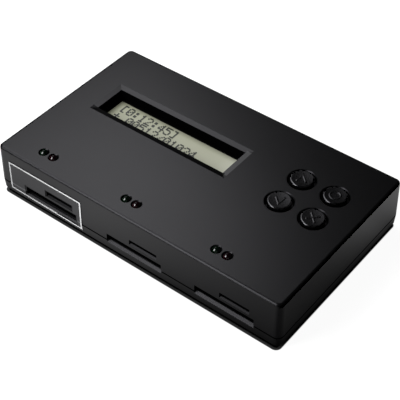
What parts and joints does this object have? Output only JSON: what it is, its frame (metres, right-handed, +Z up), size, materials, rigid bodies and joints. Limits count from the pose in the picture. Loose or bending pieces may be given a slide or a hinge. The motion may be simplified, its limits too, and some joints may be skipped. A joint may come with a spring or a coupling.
{
  "type": "memory card duplicator",
  "caption": "Flat desktop memory card duplicator: black box with a display window, round push keys, lamp pairs and wide and narrow card slots along the front.",
  "frame": {"origin": "centre of the footprint, on the table plane under the feet", "axes": "+X to the right along the front with the card slots, +Y to the rear, +Z up"},
  "size_m": [0.131, 0.0778, 0.0237],
  "materials": {
    "case_black": "fine satin moulding",
    "key_black": "smooth satin",
    "plunger_black": "moulded",
    "switch_black": "moulded",
    "socket_plastic": "moulded",
    "socket_steel": "stamped sheet",
    "contact_gold": "plated",
    "board_green": "lacquered laminate",
    "chip_black": "moulded package",
    "guide_white": "clear to white light guide",
    "display_glass": "grey green reflective display",
    "display_frame": "black sheet",
    "lamp_green": "clear tinted, unlit",
    "lamp_red": "clear tinted, unlit",
    "pin_metal": "plated",
    "label_black": "printed film with a thin pale outline",
    "screw_steel": "zinc plated",
    "foot_rubber": "matt"
  },
  "bodies": {
    "case": {"top_cover": "case_black", "bottom_cover": "case_black", "main_board": "board_green", "controller_chip": "chip_black", "sd_shell_1": "socket_steel", "sd_shell_2": "socket_steel", "sd_shell_3": "socket_steel", "sd_base_1": "socket_plastic", "sd_base_2": "socket_plastic", "sd_base_3": "socket_plastic", "sd_contacts": "contact_gold", "micro_shell_1": "socket_steel", "micro_shell_2": "socket_steel", "micro_shell_3": "socket_steel", "micro_base_1": "socket_plastic", "micro_base_2": "socket_plastic", "micro_base_3": "socket_plastic", "micro_contacts": "contact_gold", "display_board": "board_green", "display_guide": "guide_white", "display_glass": "display_glass", "display_frame": "display_frame", "display_strip": "switch_black", "switch_up": "switch_black", "switch_down": "switch_black", "switch_ring": "switch_black", "switch_cross": "switch_black", "lamp_green_1": "lamp_green", "lamp_green_2": "lamp_green", "lamp_green_3": "lamp_green", "lamp_red_1": "lamp_red", "lamp_red_2": "lamp_red", "lamp_red_3": "lamp_red", "inlet_housing": "switch_black", "inlet_pin": "pin_metal", "source_label": "label_black", "case_screws": "screw_steel", "board_screws": "screw_steel", "display_screws": "screw_steel", "rubber_feet": "foot_rubber"},
    "up_key": {"key_up": "key_black", "plunger_up": "plunger_black"},
    "down_key": {"key_down": "key_black", "plunger_down": "plunger_black"},
    "ring_key": {"key_ring": "key_black", "plunger_ring": "plunger_black"},
    "cross_key": {"key_cross": "key_black", "plunger_cross": "plunger_black"}
  },
  "joints": [
    {"name": "up_press", "type": "slide", "parent": "case", "child": "up_key", "axis": [0, 0, -1], "range_m": [0, 0.0005], "stiffness_N_per_m": 600, "springref_m": -0.001},
    {"name": "down_press", "type": "slide", "parent": "case", "child": "down_key", "axis": [0, 0, -1], "range_m": [0, 0.0005], "stiffness_N_per_m": 600, "springref_m": -0.001},
    {"name": "ring_press", "type": "slide", "parent": "case", "child": "ring_key", "axis": [0, 0, -1], "range_m": [0, 0.0005], "stiffness_N_per_m": 600, "springref_m": -0.001},
    {"name": "cross_press", "type": "slide", "parent": "case", "child": "cross_key", "axis": [0, 0, -1], "range_m": [0, 0.0005], "stiffness_N_per_m": 600, "springref_m": -0.001}
  ]
}
